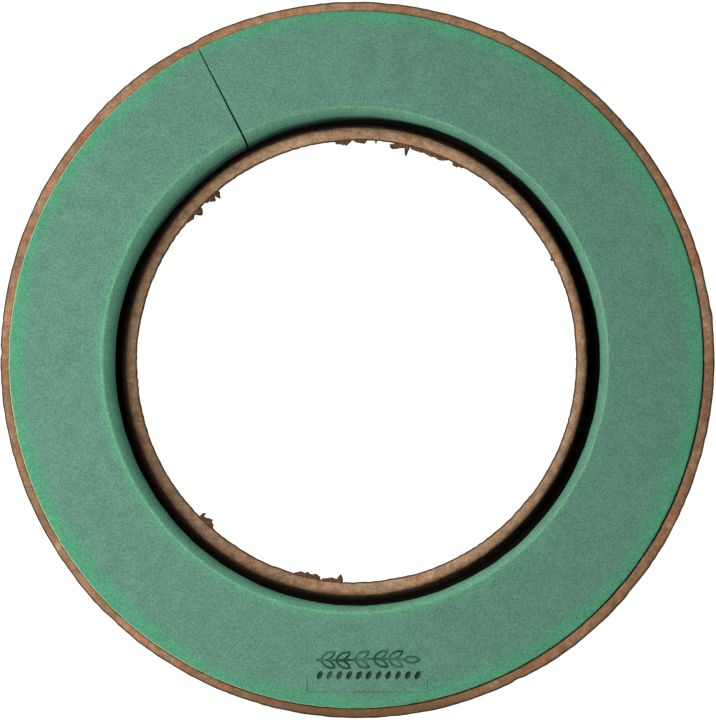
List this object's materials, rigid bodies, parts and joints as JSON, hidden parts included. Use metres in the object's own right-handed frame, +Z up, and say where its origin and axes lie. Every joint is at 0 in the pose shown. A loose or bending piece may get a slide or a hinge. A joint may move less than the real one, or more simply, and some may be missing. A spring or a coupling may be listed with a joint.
{
  "type": "floral foam wreath ring",
  "caption": "Ring of wettable floral foam with a bevelled inner edge, glued into a moulded pulp tray with a watering groove; flowers and greenery are pushed into the foam.",
  "frame": {"origin": "on the ring's axis, at the underside of the pulp tray", "axes": "+Z up out of the foam along the ring's axis; +Y towards the top of the picture and +X towards its right, so the pressed motif is at -Y and the saw cut lies 117 degrees round from +X"},
  "size_m": [0.3, 0.3, 0.045],
  "materials": {
    "foam": "matte",
    "pulp": "matte",
    "hot_melt": "satin"
  },
  "bodies": {
    "root": {"foam_ring": "foam", "pulp_tray": "pulp", "glue_dot_01": "hot_melt", "glue_dot_02": "hot_melt", "glue_dot_03": "hot_melt", "glue_dot_04": "hot_melt", "glue_dot_05": "hot_melt", "glue_dot_06": "hot_melt", "glue_dot_07": "hot_melt", "glue_dot_08": "hot_melt"}
  },
  "joints": []
}
